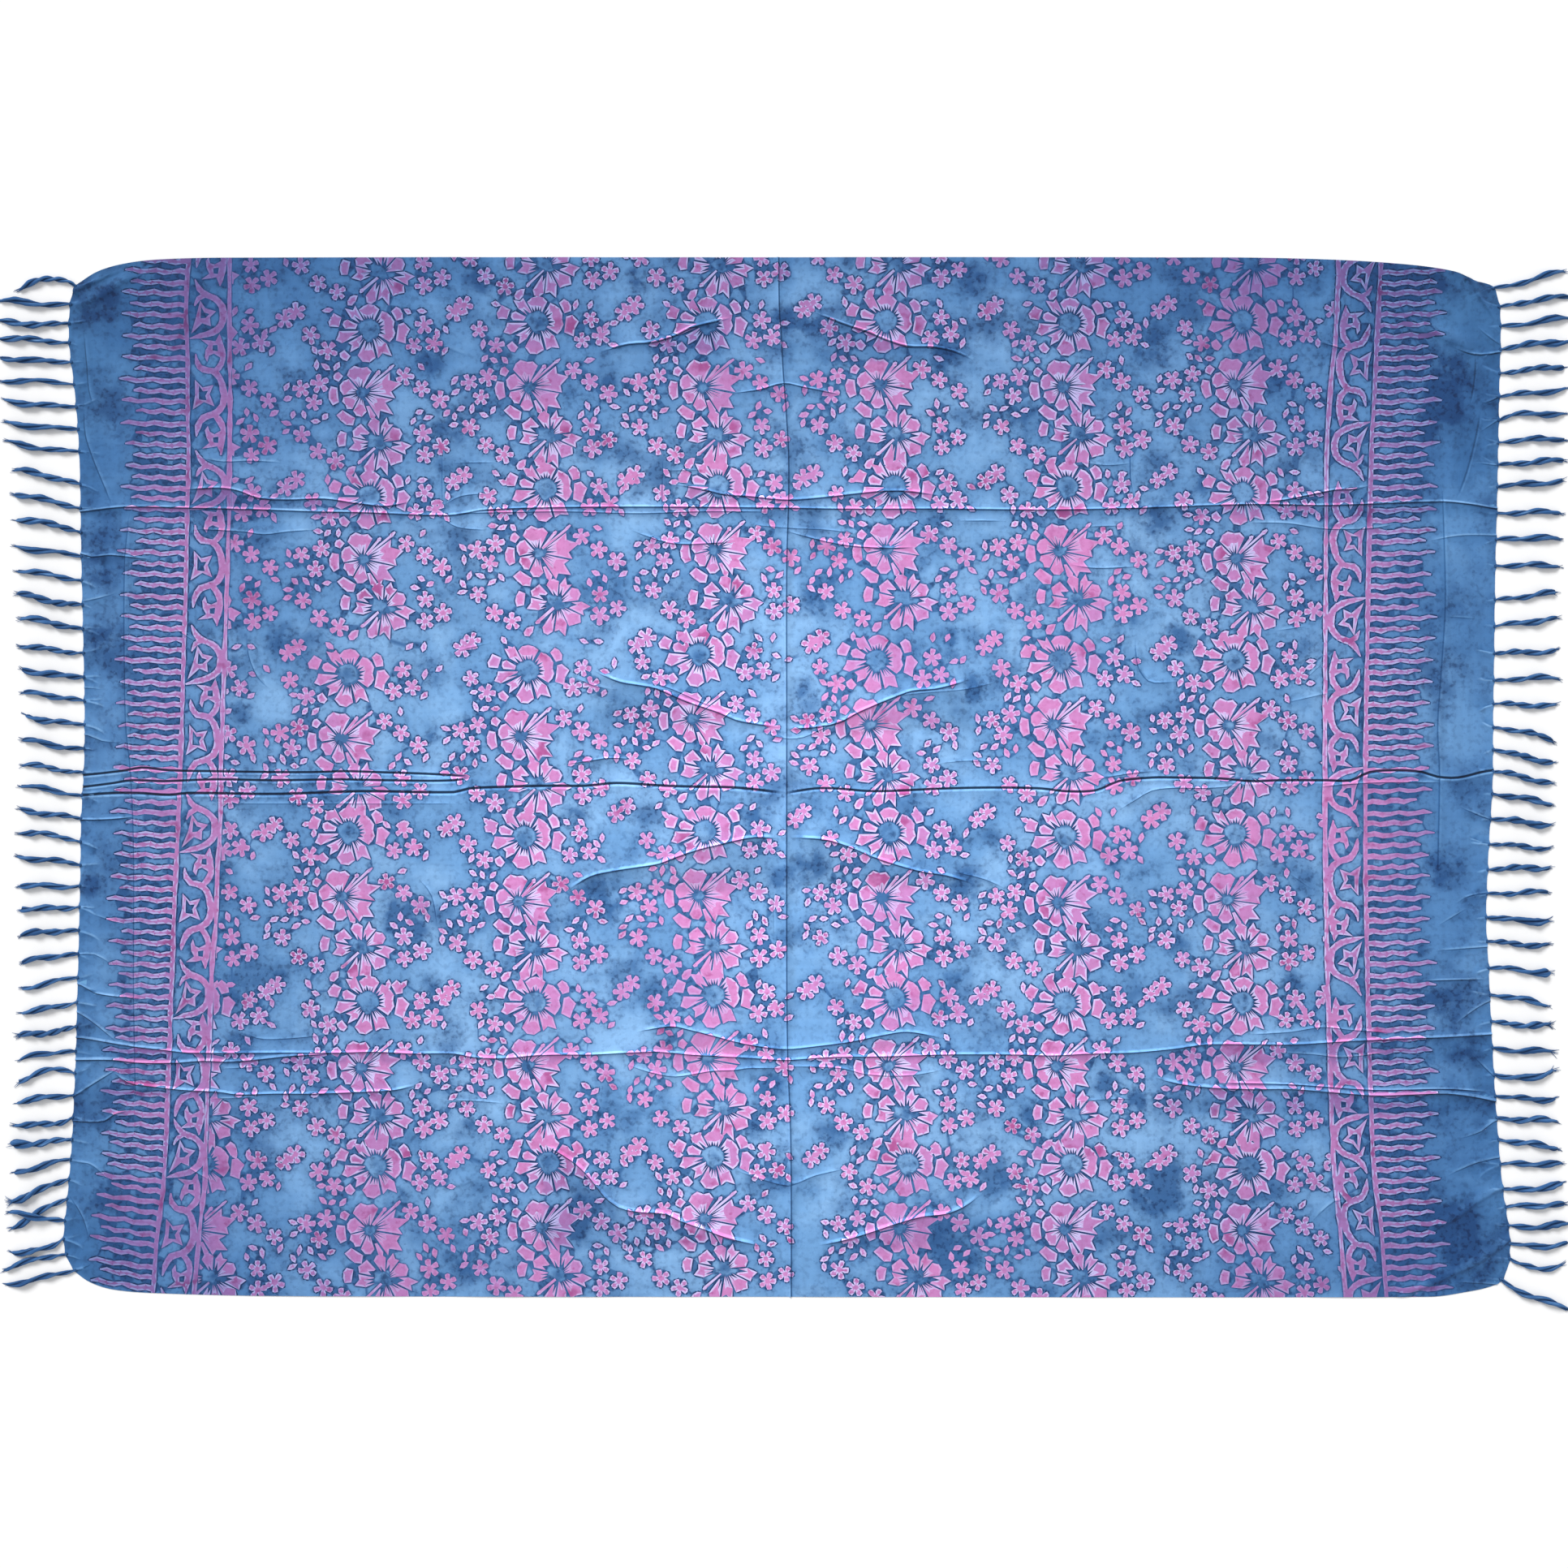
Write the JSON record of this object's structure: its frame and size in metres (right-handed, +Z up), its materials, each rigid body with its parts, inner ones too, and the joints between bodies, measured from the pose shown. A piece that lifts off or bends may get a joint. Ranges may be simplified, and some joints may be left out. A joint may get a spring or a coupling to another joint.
{
  "type": "sarong",
  "caption": "Fringed rectangular wrap cloth spread flat, blue batik with pink flowers, twisted cords knotted along both ends.",
  "frame": {"origin": "middle of the whole outline, fringe included, on the surface that the cloth lies on", "axes": "+X along the cloth's length towards one fringe, +Y across its width, +Z up from the surface"},
  "size_m": [1.7244, 1.1562, 0.0118],
  "materials": {
    "cloth": "plain-woven rayon, wax-resist printed in pink on mottled blue, matt with a slight sheen",
    "fringe": "two-ply twisted rayon warp threads, dyed blue, matt"
  },
  "bodies": {
    "root": {"cloth": "cloth", "fringe_left": "fringe", "fringe_right": "fringe"}
  },
  "joints": []
}
